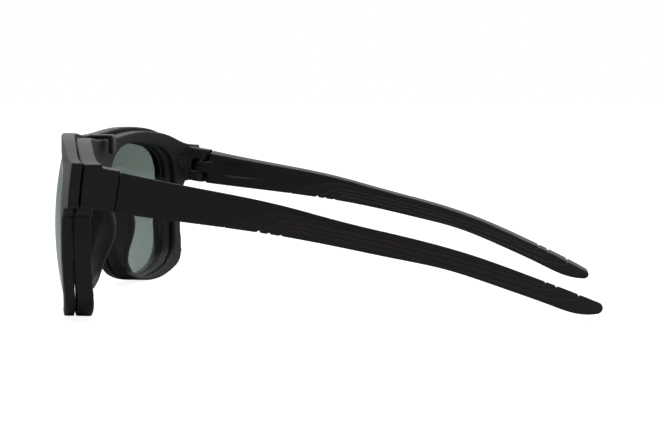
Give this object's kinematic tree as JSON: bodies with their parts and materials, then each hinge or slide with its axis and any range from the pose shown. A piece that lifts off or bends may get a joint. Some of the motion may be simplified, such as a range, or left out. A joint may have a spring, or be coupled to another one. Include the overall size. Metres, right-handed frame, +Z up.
{
  "type": "spectacles with magnetic clip-on sun front",
  "caption": "Wrapped full-rim sport spectacles with folding grooved temples and a tinted sun front that clips over the bridge and holds by magnets.",
  "frame": {"origin": "on the mirror plane, level with the lowest edge of the lenses, in the upright plane through the front ends of the end pieces", "axes": "+X to the wearer's left, the front faces -Y and the temples run back along +Y, +Z up"},
  "size_m": [0.1412, 0.1637, 0.053],
  "materials": {
    "matte_frame": "matte",
    "matte_clip": "matte",
    "matte_temple": "matte",
    "soft_sleeve": "soft matte",
    "clear_lens": "polished",
    "tinted_lens": "polished",
    "screw_steel": "satin",
    "plug": "satin",
    "magnet": "polished"
  },
  "bodies": {
    "front": {"front_frame": "matte_frame", "left_clear_lens": "clear_lens", "right_clear_lens": "clear_lens", "left_hinge_screw": "screw_steel", "right_hinge_screw": "screw_steel", "left_magnet_plug": "plug", "right_magnet_plug": "plug", "left_frame_magnet": "magnet", "right_frame_magnet": "magnet"},
    "clip": {"clip_frame": "matte_clip", "left_clip_lens": "tinted_lens", "right_clip_lens": "tinted_lens", "left_clip_magnet": "magnet", "right_clip_magnet": "magnet"},
    "left_arm": {"left_temple": "matte_temple", "left_temple_sleeve": "soft_sleeve"},
    "right_arm": {"right_temple": "matte_temple", "right_temple_sleeve": "soft_sleeve"}
  },
  "joints": [
    {"name": "left_temple_fold", "type": "hinge", "parent": "front", "child": "left_arm", "pos_m": [0.067, 0.0081, 0.0367], "axis": [0, 0.165, 0.9863], "range_deg": [0, 82]},
    {"name": "right_temple_fold", "type": "hinge", "parent": "front", "child": "right_arm", "pos_m": [-0.067, 0.0081, 0.0367], "axis": [0, -0.165, -0.9863], "range_deg": [0, 60]},
    {"name": "clip_lift", "type": "slide", "parent": "front", "child": "clip", "axis": [0, -0.0797, 0.9968], "range_m": [0, 0.06]}
  ]
}
